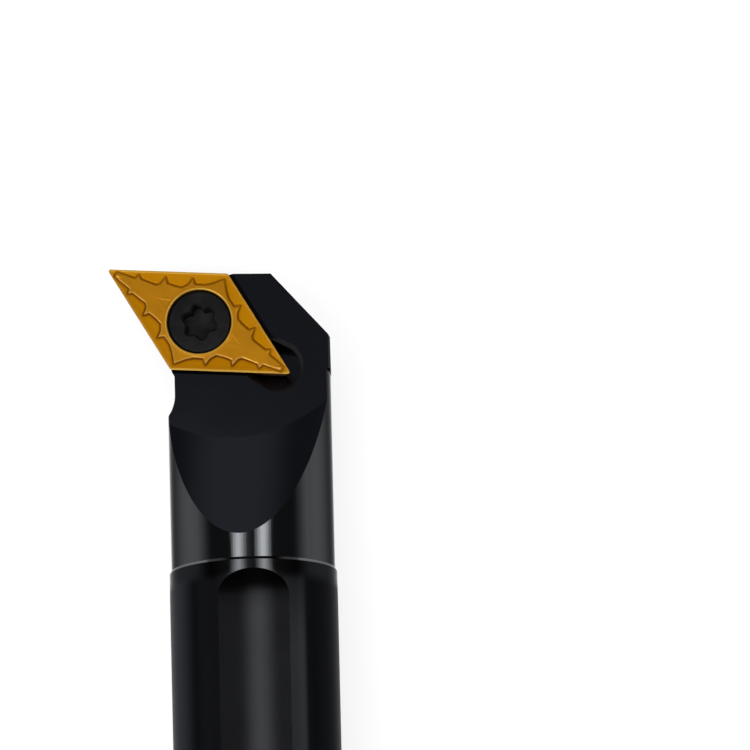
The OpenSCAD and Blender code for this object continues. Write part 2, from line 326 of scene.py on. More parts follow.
# %% Clamping flats
run_angle = math.asin(run / RUN_OUT_R)
flat = [(-1.0, UPPER_FLAT)]
for i in range(25):
    a = run_angle * i / 24
    flat.append((FLAT_END + RUN_OUT_R * math.sin(a), UPPER_FLAT + RUN_OUT_R * (1 - math.cos(a))))
flat += [(FLAT_END + run, 9.0), (-1.0, 9.0)]
lying = Matrix(((0, 0, 1, 0), (1, 0, 0, 0), (0, 1, 0, 0), (0, 0, 0, 1)))
combine(bar, prism("upper_flat", flat, -16, 16, lying), "DIFFERENCE")
combine(bar, box("lower_flat", (-30, -1, -40), (30, 185, -LOWER_FLAT)), "DIFFERENCE")
print("with its flats:", len(bar.data.polygons))

# %% [markdown]
# The head's top is milled just above the insert, and a scoop leads down to it from the neck, so that
# chips can flow off. The scoop is part of a wide cylinder whose axis rises towards the rear. Only its
# share above the head's top is taken away, which leaves the arc where the two meet.

# %% Scoop and head top
SCOOP_R = 24.8
SCOOP_SLOPE = 30.25
SCOOP_X = -1.33
SCOOP_Y = LENGTH - 16.88
top_w = insert_place.z + HEAD_RISE
scoop_low = move(SCOOP_X, SCOOP_Y, top_w)
scoop_axis = in_head @ scoop_low @ rotation(90 - SCOOP_SLOPE, "X") @ move(0, SCOOP_R, 0)
scoop = round_bar("scoop", SCOOP_R, 160, 720, scoop_axis)
room = box("scoop_room", (-30, SHOULDER_Y - 8, top_w), (30, LENGTH + 20, top_w + 30), in_head)
combine(scoop, room, "INTERSECT")
combine(bar, scoop, "DIFFERENCE")
print("with the scoop:", len(bar.data.polygons))

# %% [markdown]
# The outside of the head is cut by planes: the front face, which leans back towards its foot so that
# only the insert touches the work, the large corner chamfer, and the narrow flat on the right. The
# relief at the left keeps the head behind the cutting edge. It ends in an arc at the rear, and under
# the insert it leans a little more than the insert's own side.

# %% Front face, corner chamfer and right side
FRONT_TURN = 2.7
FRONT_LEAN = 6
CORNER_TURN = 48.7
CORNER_X = 2.3
SIDE_X = 7.8
front_y = LENGTH - 1.14
corner = move(CORNER_X, front_y, top_w)
front_place = corner @ rotation(-FRONT_TURN, "Z") @ rotation(-FRONT_LEAN, "X")
front = box("front", (-60, 0, -60), (60, 60, 60), front_place)
combine(bar, front, "DIFFERENCE")
chamfer = box("corner", (-60, 0, -60), (60, 60, 60), corner @ rotation(-CORNER_TURN, "Z"))
combine(bar, chamfer, "DIFFERENCE")
side_y = front_y - (SIDE_X - CORNER_X) * math.tan(math.radians(CORNER_TURN))
side = box("side", (0, -8, -30), (60, 112, 30), move(SIDE_X, side_y, 0) @ rotation(0.5, "Z"))
combine(bar, side, "DIFFERENCE")
print("with its front:", len(bar.data.polygons))

# %% Relief at the left
LEFT_X = -7.1
LEFT_R = 3.5
FLANK_TURN = 215
FLANK_LEAN = 10
relief_outline = [(LEFT_X, LENGTH + 5)]
for i in range(25):
    a = math.pi / 2 * i / 24
    x = LEFT_X - LEFT_R + LEFT_R * math.cos(a)
    relief_outline.append((x, HEAD_BACK_Y - LEFT_R * math.sin(a)))
relief_outline += [(-40, HEAD_BACK_Y - LEFT_R), (-40, LENGTH + 5)]
left_relief = prism("left_relief", relief_outline, -20, 20)
flank = INSERT_R - THICKNESS * math.tan(CLEARANCE) - 0.25
flank_place = in_insert @ rotation(FLANK_TURN, "Z") @ move(flank, 0, -SEAT_DEPTH)
flank_place = flank_place @ rotation(FLANK_LEAN, "Y")
combine(left_relief, box("flank", (-60, -60, -60), (0, 60, 60), flank_place), "DIFFERENCE")
combine(bar, left_relief, "DIFFERENCE")
print("with the relief at its left:", len(bar.data.polygons))

# %% [markdown]
# The pocket's two walls lean by seven degrees, like the insert's sides, and their upper edges are
# chamfered. Both are in one cutter whose outline grows from height to height. The relief round the
# inner corner is a bore that runs into both walls in a flare, and its own chamfer is part of the same
# kind of cutter. The screw's hole is cut last, as a plain bore, because its thread is never seen.

# %% Pocket
front_wall = Vector((math.cos(math.radians(35)), math.sin(math.radians(35))))


def pocket_outline(reach):
    """Two wall lines at the given distance from the axis, and far points on the open side.

    The rear wall faces straight along the insert's own Y, and the front wall's normal is front_wall.
    """
    far = 40
    y = -reach
    x = (reach - front_wall.y * y) / front_wall.x
    along_wall = Vector((-front_wall.y, front_wall.x)) * far
    return [(x, y), (x + along_wall.x, y + along_wall.y), (-far, along_wall.y), (-far, y)]


reach = INSERT_R + WALL_GAP
slope = math.tan(CLEARANCE)
chamfer_z = HEAD_RISE - 0.38
levels = [(-SEAT_DEPTH, reach - SEAT_DEPTH * slope), (chamfer_z, reach + chamfer_z * slope)]
levels += [(chamfer_z + 6, reach + 6)]
pocket = stack("pocket", [(z, pocket_outline(d)) for z, d in levels], in_insert)
combine(bar, pocket, "DIFFERENCE")
print("with the pocket:", len(bar.data.polygons))

# %% Corner relief
RELIEF_R = 2.07
RELIEF_INSET = 1.46
RELIEF_REACH = 4.15


def relief_half(grow, side):
    """Flare and half of the bore's arc, from one wall to the bisector, grown by the chamfer."""
    centre = Vector((RELIEF_INSET * math.cos(HALF_ANGLE), -RELIEF_INSET * math.sin(HALF_ANGLE)))
    away = Vector((RELIEF_REACH, 0)) - centre
    flare = math.asin(RELIEF_R / away.length) - math.atan2(away.y, away.x)
    outward = Vector((math.sin(flare), math.cos(flare)))
    start = Vector((RELIEF_REACH, 0)) + outward * grow
    points = [start]
    first = math.pi / 2 - flare
    last = math.pi - HALF_ANGLE
    for i in range(25):
        a = first + (last - first) * i / 24
        points.append(centre + Vector((math.cos(a), math.sin(a))) * (RELIEF_R + grow))
    turned = []
    for p in points:
        # along the wall from the corner, and outward, to along and across the bisector
        along_bisector = p.x * math.cos(HALF_ANGLE) - p.y * math.sin(HALF_ANGLE)
        off_bisector = p.x * math.sin(HALF_ANGLE) + p.y * math.cos(HALF_ANGLE)
        turned.append((-along_bisector, off_bisector * side))
    return turned


def relief_outline_at(grow):
    """The whole relief's outline: two flares, the bore's arc, and a point behind the insert."""
    one = relief_half(grow, 1)
    two = relief_half(grow, -1)
    return one + two[:-1][::-1] + [(-RELIEF_REACH - 1.0, 0)]


corner_place = (
    in_insert
    @ move(HALF_LONG * math.cos(HALF_ANGLE), -HALF_LONG * math.sin(HALF_ANGLE), 0)
    @ Matrix.Rotation(-HALF_ANGLE, 4, "Z")
)
levels = [(-SEAT_DEPTH - 0.4, 0), (chamfer_z, 0), (chamfer_z + 3, 3)]
corner_relief = stack("corner_relief", [(z, relief_outline_at(g)) for z, g in levels], corner_place)
combine(bar, corner_relief, "DIFFERENCE")
tapped = round_bar("tapped", 2.0, 40, 96, in_insert @ move(0, 0, -20))
combine(bar, tapped, "DIFFERENCE")
print("bar faces:", len(bar.data.polygons))

# %% [markdown]
# Booleans leave many small flat faces where large ones would do, and knife-sharp edges. Faces in one
# plane are merged first. Then every sharp edge gets a small bevel, as on a tool whose edges were
# broken before it was blackened. Those fine slopes catch the light, and they make the edges readable.

# %% Broken edges
EDGE_WIDTH = 0.06
only(bar)
bpy.ops.object.mode_set(mode="EDIT")
bpy.ops.mesh.select_all(action="SELECT")
bpy.ops.mesh.remove_doubles(threshold=0.0015)
bpy.ops.mesh.dissolve_limited(angle_limit=math.radians(0.3))
bpy.ops.object.mode_set(mode="OBJECT")
look = bmesh.new()
look.from_mesh(bar.data)
open_edges = sum(1 for e in look.edges if not e.is_manifold)
look.free()
print("bar faces after merging:", len(bar.data.polygons), "open edges:", open_edges)
only(bar)
bpy.ops.object.shade_smooth_by_angle(angle=math.radians(15))
bevel = bar.modifiers.new("edges", "BEVEL")
bevel.width = EDGE_WIDTH
bevel.segments = 2
bevel.limit_method = "ANGLE"
bevel.angle_limit = math.radians(28)
bevel.miter_outer = "MITER_ARC"
bevel.harden_normals = True
weights = bar.modifiers.new("flat_faces", "WEIGHTED_NORMAL")
weights.keep_sharp = True
weights.weight = 100
apply_all(bar)
print("bar faces with broken edges:", len(bar.data.polygons))
bar = finish_piece(bar, "bar_body", Matrix(), "bar")
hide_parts("bar")

# %% [markdown]
# ## The insert
#
# The insert is pressed from carbide powder, sintered and coated, so its top is a soft moulded relief:
# a narrow flat land along the edges, a groove behind it, and a raised face whose outline runs out in
# points. Its surface is built from rings round the screw hole. Each ring has its points on the same
# rays, and the rings lead from the bottom up the hole, over the top and down the sides. The rings of
# the top then get their heights from the distances to the edges and to the raised face's outline,
# which is as near to pressing powder as a mesh comes.

# %% Rays of the insert
NOSE_R = 0.2
BLUNT_R = 0.3


def outline_radius(angle, inner):
    """Distance from the axis to the diamond's rounded outline, for an angle from the long diagonal."""
    a = abs((angle + math.pi / 2) % math.pi - math.pi / 2)
    sharp_centre = (inner - NOSE_R) / math.sin(HALF_ANGLE)
    blunt_centre = (inner - BLUNT_R) / math.cos(HALF_ANGLE)
    normal = math.pi / 2 - HALF_ANGLE
    sharp_end = math.atan2(NOSE_R * math.sin(normal), sharp_centre + NOSE_R * math.cos(normal))
    blunt_end = math.atan2(blunt_centre + BLUNT_R * math.sin(normal), BLUNT_R * math.cos(normal))
    if a < sharp_end:
        return sharp_centre * math.cos(a) + math.sqrt(NOSE_R**2 - (sharp_centre * math.sin(a)) ** 2)
    if a > blunt_end:
        return blunt_centre * math.sin(a) + math.sqrt(BLUNT_R**2 - (blunt_centre * math.cos(a)) ** 2)
    return inner / math.cos(a - normal)


def quarter_rays(steps):
    """Angles of the rays of one quarter, spaced evenly along the edge, closer at its two corners."""
    normal = math.pi / 2 - HALF_ANGLE
    sharp = (INSERT_R - NOSE_R) / math.sin(HALF_ANGLE)
    blunt = (INSERT_R - BLUNT_R) / math.cos(HALF_ANGLE)
    rays = []
    for i in range(8):
        a = normal * i / 8
        rays.append(math.atan2(NOSE_R * math.sin(a), sharp + NOSE_R * math.cos(a)))
    start = Vector((sharp + NOSE_R * math.cos(normal), NOSE_R * math.sin(normal)))
    end = Vector((BLUNT_R * math.cos(normal), blunt + BLUNT_R * math.sin(normal)))
    for i in range(steps):
        p = start.lerp(end, i / steps)
        rays.append(math.atan2(p.y, p.x))
    for i in range(5):
        a = normal + HALF_ANGLE * i / 5
        rays.append(math.atan2(blunt + BLUNT_R * math.sin(a), BLUNT_R * math.cos(a)))
    return rays


half_turn = quarter_rays(160)
half_turn += [math.pi - a for a in half_turn[::-1][:-1]]
half_turn = sorted(set(round(a, 9) for a in half_turn + [math.pi / 2]))
rays = np.array(half_turn + [a + math.pi for a in half_turn])
print("rays:", len(rays))

# %% [markdown]
# The outline of the raised face is the same along all four edges, mirrored in both diagonals. It is
# given by the distance along an edge from the sharp corner and the distance inside that edge. Points
# where the outline comes close to the edge are the tips of the ribs.

# %% Outline of the raised face
along_and_inside = [
    (1.0, 0.31), (1.6, 0.45), (2.76, 0.82), (3.12, 0.47), (3.34, 0.88), (4.1, 1.14),
    (4.8, 1.38), (5.22, 1.24), (5.7, 0.62), (5.87, 1.19), (6.6, 1.42), (7.3, 1.56),
    (7.88, 1.22), (8.3, 0.64), (8.56, 1.2), (9.5, 1.23), (10.25, 1.04), (11.3, 0.6),
]
edge_angle = math.pi / 2 - HALF_ANGLE
edge_normal = np.array([math.cos(edge_angle), math.sin(edge_angle)])
edge_along = np.array([-math.cos(HALF_ANGLE), math.sin(HALF_ANGLE)])
sharp_corner = np.array([HALF_LONG, 0.0])
one_edge = [sharp_corner + edge_along * s - edge_normal * d for s, d in along_and_inside]
upper = one_edge + [p * (-1, 1) for p in one_edge[::-1]]
face_outline = np.array(upper + [-p for p in upper])
print("points on the raised face's outline:", len(face_outline))


def signed_distance(points, outline):
    """Distance of each point from a closed outline, positive inside it."""
    start = outline
    step = np.roll(outline, -1, axis=0) - outline
    nearest = np.full(len(points), 1e9)
    inside = np.zeros(len(points), bool)
    for a, d in zip(start, step):
        t = np.clip(((points - a) @ d) / (d @ d), 0, 1)
        nearest = np.minimum(nearest, np.linalg.norm(points - (a + t[:, None] * d), axis=1))
        b = a + d
        crosses = (a[1] > points[:, 1]) != (b[1] > points[:, 1])
        with np.errstate(divide="ignore", invalid="ignore"):
            x = a[0] + (points[:, 1] - a[1]) * d[0] / d[1]
        inside ^= crosses & (points[:, 0] < x)
    return np.where(inside, nearest, -nearest)


def smooth(t):
    """A soft step from 0 to 1."""
    t = np.clip(t, 0, 1)
    return t * t * (3 - 2 * t)


# %% [markdown]
# A powder press gives every point of the top a height. So does one function here. The groove falls
# away behind the land at 11 degrees and rises again, a fine ditch runs along the foot of the raised
# face, and the wall of the face is steep below and rounded above. Two small wedges and two small bumps
# near the sharp corners are added last.

# %% Height of the insert's top
LAND = 0.16
GROOVE_FALL = math.radians(11)
FACE_HEIGHT = 0.06
WALL_WIDTH = 0.25
RIM_R = 3.18
RIM_ROUND = 0.14


def top_height(points):
    """Height above the cutting edge, for points in X and Y on the top face."""
    folded = np.abs(points)
    inside_edge = INSERT_R - folded @ edge_normal
    groove = -math.tan(GROOVE_FALL) * np.clip(inside_edge - LAND, 0, 1.0)
    groove += 0.045 * smooth((inside_edge - 0.5) / 0.7)
    to_face = signed_distance(points, face_outline)
    # a fine ditch along the foot of the raised face's wall
    groove -= 0.022 * smooth(1 - np.abs(to_face + 0.2) / 0.13)
    # the wall is steep at its foot and leans back towards the face
    rise = np.clip(to_face / WALL_WIDTH + 0.4, 0, 1)
    wall = rise * (2 - rise)
    height = groove * (1 - wall) + FACE_HEIGHT * wall
    # a shallow wedge between the hole and each sharp corner, and a small bump near the corner
    wedge = 0.5 * (1 - (folded[:, 0] - 3.45) / 1.25) - folded[:, 1]
    height -= 0.035 * smooth(wedge / 0.12) * (folded[:, 0] < 4.8)
    bump = np.hypot((folded[:, 0] - 9.02) / 0.3, folded[:, 1] / 0.14)
    height += 0.06 * smooth(1.2 - bump)
    return height


print("land, mm:", LAND, "raised face above the edge, mm:", FACE_HEIGHT)


# %% [markdown]
# The rings are made by hand: a circle is added, its points are moved on their rays, and then its
# open edge is extruded again and again, each new ring moved to its own radius and height. The first
# and the last ring both lie at the bottom, and a bridge of faces between them closes the shell, which
# leaves the hole through it.

# %% Ring by ring
def place_on_ray(point, a, radius, z):
    """Moves a point to a height and a radius; the radius is a number or depends on the angle."""
    r = radius(a) if callable(radius) else radius
    point.co = (r * math.cos(a), r * math.sin(a), z)


def nearest_ray(angles, a):
    """The listed angle that a point lies on."""
    i = np.searchsorted(angles, a)
    options = [angles[(i - 1) % len(angles)], angles[i % len(angles)]]
    return min(options, key=lambda b: abs((b - a + math.pi) % math.tau - math.pi))


def start_ring(name, angles, radius, z):
    """Adds a circle and moves its points on the given rays."""
    bpy.ops.object.select_all(action="DESELECT")
    bpy.ops.mesh.primitive_circle_add(vertices=len(angles), radius=1, fill_type="NOTHING")
    piece = bpy.context.object
    piece.name = name
    for v, a in zip(piece.data.vertices, angles):
        place_on_ray(v, a, radius, z)
    only(piece)
    bpy.ops.object.mode_set(mode="EDIT")
    bpy.ops.mesh.select_mode(type="VERT")
    bpy.ops.mesh.select_all(action="SELECT")
    return piece


def pull_ring(piece, angles, radius, z):
    """Extrudes the open ring and moves the new points to a radius and a height on their rays."""
    bpy.ops.mesh.extrude_edges_indiv()
    mesh = bmesh.from_edit_mesh(piece.data)
    for v in mesh.verts:
        if v.select:
            a = nearest_ray(angles, math.atan2(v.co.y, v.co.x) % math.tau)
            place_on_ray(v, a, radius, z)
    bmesh.update_edit_mesh(piece.data)


def diamond_at(z, inset=0.0):
    """Radius of the insert's leaning side at a height below the cutting edge."""
    inner = INSERT_R + z * math.tan(CLEARANCE) - inset
    return lambda a: outline_radius(a, inner)


print("from the axis to the nose, mm:", round(outline_radius(0, INSERT_R), 3))

# %% [markdown]
# The insert's rings start at the foot of its hole. They go up the hole and out along its countersink,
# over the rounded rim, across the top to the cutting edge, and down the leaning sides to the bottom.
# The many rings on the top are level at first, and the next step presses the relief into them.

# %% Insert body
HOLE_R = 2.2
SINK_SLOPE = math.tan(math.radians(60))
sink_z = -(RIM_R - HOLE_R) * SINK_SLOPE
insert = start_ring("insert_top", rays, HOLE_R + 0.12, -THICKNESS)
hole_wall = [(HOLE_R, -THICKNESS + 0.12), (HOLE_R, -2.8), (HOLE_R, sink_z - 0.12)]
sink_wall = [(HOLE_R + 0.03, sink_z + 0.02)]
sink_wall += [(r, -(RIM_R - r) * SINK_SLOPE) for r in (2.4, 2.6, 2.8)]
sink_wall += [(3.01, -0.58), (3.06, -0.45), (3.085, -0.28)]
rim = []
for i in range(7):
    # the rounded rim turns from the sink's steep wall to the level face
    a = math.radians(90) * i / 6
    rim.append((3.1 + RIM_ROUND * (1 - math.cos(a)), FACE_HEIGHT + 0.02 - RIM_ROUND * (1 - math.sin(a))))
rim.append((3.33, FACE_HEIGHT + 0.014))
for r, z in hole_wall + sink_wall + rim:
    pull_ring(insert, rays, r, z)

TOP_RINGS = 100
face_start = 3.42


def top_ring(share):
    """Radius of a ring between the hole's rim and the cutting edge."""
    return lambda a: face_start + share * (outline_radius(a, INSERT_R - 0.012) - face_start)


for k in range(1, TOP_RINGS + 1):
    pull_ring(insert, rays, top_ring(k / TOP_RINGS), 0)
pull_ring(insert, rays, diamond_at(-0.004, 0.003), -0.004)
for z in (-0.014, -0.5, -1.5, -2.5, -3.5, -3.85):
    pull_ring(insert, rays, diamond_at(z), z)
pull_ring(insert, rays, diamond_at(-THICKNESS, 0.1), -THICKNESS)
bpy.ops.object.mode_set(mode="OBJECT")
print("insert's rings:", len(insert.data.vertices) // len(rays), "of", len(rays), "points")

# %% Close the bottom and press the relief
only(insert)
bpy.ops.object.mode_set(mode="EDIT")
bpy.ops.mesh.select_all(action="DESELECT")
bpy.ops.mesh.select_non_manifold()
bpy.ops.mesh.bridge_edge_loops()
bpy.ops.mesh.select_all(action="SELECT")
bpy.ops.mesh.normals_make_consistent(inside=False)
bpy.ops.object.mode_set(mode="OBJECT")
coords = np.empty(len(insert.data.vertices) * 3)
insert.data.vertices.foreach_get("co", coords)
coords = coords.reshape(-1, 3)
on_top = (np.abs(coords[:, 2]) < 1e-6) & (np.hypot(coords[:, 0], coords[:, 1]) > face_start + 0.001)
coords[on_top, 2] = top_height(coords[on_top, :2])
insert.data.vertices.foreach_set("co", coords.ravel())
heights = coords[on_top, 2]
print("lowest and highest of the relief, mm:", round(heights.min(), 3), round(heights.max(), 3))

# %% [markdown]
# The coating's tone is painted from zone to zone. A painted highlight makes it paler on the lands, most
# of all along two of the four edges, on the hole's rim, and on the rear ridges of the raised face.
# Painted shade makes it dark in the crease below the raised face and in the gap beside the screw, and
# the grooves are duller. Each zone becomes a number on every point of the mesh, and the material reads
# these numbers later. They stay with the points when the insert moves.

# %% Zones of painted light and shade on the insert, and its grooves
from_axis = np.hypot(coords[:, 0], coords[:, 1])
inside_edge = INSERT_R - np.abs(coords[:, :2]) @ edge_normal
to_face = signed_distance(coords[:, :2], face_outline)
# painted highlight: the lands of two of the four edges, and the hole's rim, are paler
highlight_edges = np.where(coords[:, 0] * coords[:, 1] < 0, 1.0, 0.3)
on_land = smooth((0.24 - inside_edge) / 0.1) * (coords[:, 2] > -0.01) * highlight_edges
on_rim = smooth((3.28 - from_axis) / 0.07) * smooth((from_axis - 3.09) / 0.03) * (coords[:, 2] > -0.06)
rear_side = smooth(0.5 - 2 * coords[:, 1])
# painted highlight on the rear ridges of the raised face
on_ridge = smooth(1.3 - np.abs(to_face - 0.06) / 0.08) * on_top * rear_side
# painted shade in the crease at the foot of the raised face, stronger at the rear
in_crease = smooth(1.4 - np.abs(to_face + 0.07) / 0.12) * on_top * (0.55 + 0.45 * rear_side)
# painted shade in the gap between the countersink and the screw's head
in_gap = smooth((3.13 - from_axis) / 0.04) * smooth((-0.04 - coords[:, 2]) / 0.1)
in_groove = smooth((inside_edge - LAND) / 0.15) * smooth(-to_face / 0.2) * on_top
zones = {
    "pale_edge": np.maximum(on_land, on_rim),
    "ridge": on_ridge,
    "crease": in_crease,
    "gap": in_gap,
    "groove": in_groove,
}
for name, values in zones.items():
    insert.data.attributes.new(name, "FLOAT", "POINT").data.foreach_set("value", values)
    print("zone", name, "covers", int((values > 0.5).sum()), "points")
insert.data.update()

# %% Insert in its place
only(insert)
bpy.ops.object.shade_smooth_by_angle(angle=math.radians(40))
long_diagonal = Matrix.Rotation(-HALF_ANGLE, 4, "Z")
insert = finish_piece(insert, "insert_moulded", in_insert @ long_diagonal, "insert")
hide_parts("insert")

# %% [markdown]
# ## The clamp screw
#
# The screw has a conical head with a six-lobed socket and a fine thread. It is made from rings as
# well. It starts at the middle of the socket's floor, comes up the socket's wall, runs over the head
# and down the cone, and then each ring of the shank follows the thread's helix. The thread rises by
# its pitch in one turn and fades out at both ends.

# %% Screw sizes
SCREW_N = 144
screw_rays = np.array([math.tau * i / SCREW_N for i in range(SCREW_N)])
HEAD_TOP = -0.25
HEAD_R = 2.93
THREAD_R = 1.95
CORE_R = 1.58
PITCH = 0.7
THREAD_TOP = -2.75
SCREW_END = HEAD_TOP - 6.85
SOCKET_DEPTH = 1.5
SOCKET_TURN = math.radians(-15)
HALF_CONE = math.tan(math.radians(30))


def lobes(outer, inner):
    """Six round lobes: the outline swings between two radii, wider at the lobes."""
    def radius(a):
        wave = 0.5 + 0.5 * math.cos(6 * (a - SOCKET_TURN))
        return inner + (outer - inner) * wave**0.8
    return radius


def thread(z):
    """Radius of the threaded shank at an angle and a height."""
    def radius(a):
        phase = ((z - SCREW_END) / PITCH - a / math.tau) % 1
        ridge = max(0.0, min(1.0, 1.28 * (1 - abs(2 * phase - 1)) - 0.12))
        fade = min(1, max(0, (z - SCREW_END - 0.35) / 0.5), max(0, (THREAD_TOP - z) / 0.4))
        low_end = min(1, (z - SCREW_END) / 0.45)
        core = CORE_R - 0.35 * (1 - low_end)
        return core + (THREAD_R - CORE_R) * ridge * fade
    return radius


print("thread turns:", round((THREAD_TOP - SCREW_END) / PITCH, 1))

# %% [markdown]
# Each ring of the head is a pair of an outline and a height. A number stands for a round outline, and
# the socket's outline swings between its lobes and its waists. The thread's rings are close together,
# and on each of them the ridge stands at another angle. The two small openings left at the end, in
# the socket's floor and at the tip, are filled with a face.

# %% Screw body
socket_floor = HEAD_TOP - SOCKET_DEPTH
socket = lobes(1.67, 1.21)
screw = start_ring("screw_rings", screw_rays, 0.25, socket_floor - 0.1)
inside_and_top = [
    (0.9, socket_floor - 0.04), (lobes(1.6, 1.15), socket_floor), (socket, socket_floor + 0.08),
    (socket, HEAD_TOP - 1.1), (socket, HEAD_TOP - 0.7), (socket, HEAD_TOP - 0.35),
    (socket, HEAD_TOP - 0.16), (lobes(1.86, 1.42), HEAD_TOP), (2.1, HEAD_TOP), (HEAD_R - 0.12, HEAD_TOP),
]
head_edge = []
for i in range(1, 5):
    # the head's edge turns from its level top to the cone
    a = math.radians(60) * i / 4
    head_edge.append((HEAD_R - 0.09 + 0.09 * math.sin(a), HEAD_TOP - 0.09 + 0.09 * math.cos(a)))
# the cone stands 0.03 mm off the insert's countersink
cone_top = (RIM_R - 0.03 / math.cos(math.radians(30)) - HEAD_R) / HALF_CONE
cone_low = cone_top + (HEAD_R - THREAD_R) / HALF_CONE
cone = []
for share in (0.1, 0.4, 0.7, 1):
    r = HEAD_R + (THREAD_R - 0.05 - HEAD_R) * share
    cone.append((r, -cone_top - (cone_low + 0.08 - cone_top) * share))
cone.append((CORE_R + 0.1, -2.45))
for outline, z in inside_and_top + head_edge + cone:
    pull_ring(screw, screw_rays, outline, z)
z = -2.6
while z > SCREW_END + 0.02:
    pull_ring(screw, screw_rays, thread(z), z)
    z -= PITCH / 12
pull_ring(screw, screw_rays, 1.15, SCREW_END)
pull_ring(screw, screw_rays, 0.25, SCREW_END)
bpy.ops.mesh.select_all(action="DESELECT")
bpy.ops.mesh.select_non_manifold()
print("points round the two openings:", screw.data.total_vert_sel)
bpy.ops.mesh.edge_face_add()
bpy.ops.mesh.select_all(action="SELECT")
bpy.ops.mesh.normals_make_consistent(inside=False)
bpy.ops.object.mode_set(mode="OBJECT")

# %% Screw in its place
only(screw)
bpy.ops.object.shade_smooth_by_angle(angle=math.radians(38))
screw = finish_piece(screw, "clamp_screw_threaded", in_insert, "clamp_screw")
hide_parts("clamp_screw")

# %% [markdown]
# ## Finishes
#
# Each finish is one material made from nodes. All patterns are placed by the piece's own coordinates,
# so they stay in place when a piece moves. The small helpers below add a node, wire it, and return
# its output, which keeps the recipes short.

# %% Node helpers
class Recipe:
    """The nodes of one material or world, added one by one."""

    def __init__(self, owner):
        owner.use_nodes = True
        self.owner = owner
        self.tree = owner.node_tree

    def add(self, kind, **settings):
        """Adds a node of a kind, with its settings."""
        node = self.tree.nodes.new(kind)
        for name, value in settings.items():
            setattr(node, name, value)
        return node

    def wire(self, value, socket):
        """Sets a socket, or links to it when the value is another node's output."""
        if isinstance(value, bpy.types.NodeSocket):
            self.tree.links.new(value, socket)
        else:
            socket.default_value = value

    def math(self, operation, *values):
        """One calculation with numbers."""
        node = self.add("ShaderNodeMath", operation=operation)
        for value, socket in zip(values, node.inputs):
            self.wire(value, socket)
        return node.outputs[0]

    def times(self, a, b):
        """One number times another. For two masks it is the place where both hold."""
        return self.math("MULTIPLY", a, b)

    def vector(self, operation, *values):
        """One calculation with vectors, which gives a vector or a number."""
        node = self.add("ShaderNodeVectorMath", operation=operation)
        for value, socket in zip(values, node.inputs):
            self.wire(value, socket)
        gives_number = operation in ("LENGTH", "DOT_PRODUCT", "DISTANCE")
        return node.outputs["Value" if gives_number else "Vector"]

    def ramp(self, value, low, high, to_low=0.0, to_high=1.0):
        """A smooth change of a value between two limits."""
        node = self.add("ShaderNodeMapRange", interpolation_type="SMOOTHSTEP")
        for socket, v in zip(node.inputs, (value, low, high, to_low, to_high)):
            self.wire(v, socket)
        return node.outputs["Result"]

    def noise(self, place, scale, detail=3.0, roughness=0.5):
        """Cloudy variation between 0 and 1; a larger scale gives finer clouds."""
        node = self.add("ShaderNodeTexNoise")
        self.wire(place, node.inputs["Vector"])
        node.inputs["Scale"].default_value = scale
        node.inputs["Detail"].default_value = detail
        node.inputs["Roughness"].default_value = roughness
        return node.outputs["Fac"]

    def blend(self, share, a, b):
        """A mix of two colours."""
        node = self.add("ShaderNodeMix", data_type="RGBA")
        self.wire(share, node.inputs["Factor"])
        self.wire((*a, 1) if isinstance(a, tuple) else a, node.inputs["A"])
        self.wire((*b, 1) if isinstance(b, tuple) else b, node.inputs["B"])
        return node.outputs["Result"]

    def between(self, share, a, b):
        """A mix of two numbers."""
        node = self.add("ShaderNodeMix", data_type="FLOAT")
        self.wire(share, node.inputs["Factor"])
        self.wire(a, node.inputs["A"])
        self.wire(b, node.inputs["B"])
        return node.outputs["Result"]

    def bump(self, height, depth, below=None):
        """Fine relief of a depth in metres, on top of another one if there is one."""
        node = self.add("ShaderNodeBump")
        self.wire(height, node.inputs["Height"])
        node.inputs["Strength"].default_value = 1.0
        node.inputs["Distance"].default_value = depth
        if below is not None:
            self.wire(below, node.inputs["Normal"])
        return node.outputs["Normal"]

    def parts(self, vector):
        """The X, Y and Z of a vector."""
        node = self.add("ShaderNodeSeparateXYZ")
        self.wire(vector, node.inputs[0])
        return node.outputs[0], node.outputs[1], node.outputs[2]


print("recipe helpers:", ", ".join(name for name in vars(Recipe) if not name.startswith("_")))


# %% One finish
class Finish(Recipe):
    """A material, with the piece's own coordinates and normal at hand."""

    def __init__(self, name):
        super().__init__(bpy.data.materials.new(name))
        self.shader = self.tree.nodes["Principled BSDF"]
        self.place = self.add("ShaderNodeTexCoord").outputs["Object"]
        self.normal = self.add("ShaderNodeTexCoord").outputs["Normal"]

    def put(self, **values):
        """Wires the shader's own sockets, named with underscores for spaces."""
        for name, value in values.items():
            socket = self.shader.inputs[name.replace("_", " ")]
            self.wire((*value, 1) if isinstance(value, tuple) else value, socket)


print("a finish adds:", ", ".join(name for name in vars(Finish) if not name.startswith("_")))

# %% [markdown]
# ### Blackened steel
#
# The bar has several kinds of surface, and a point's place and the way it faces tell them apart. This
# could be painted by hand, but masks made from numbers stay sharp at every zoom and need no unwrapping.
# Each mask below is 1 where it holds and 0 elsewhere. The neck and the outside of the head are turned,
# so their points lie far from the axis and face away from it. What is left of the head is milled, and
# its steep faces are told by their normals.

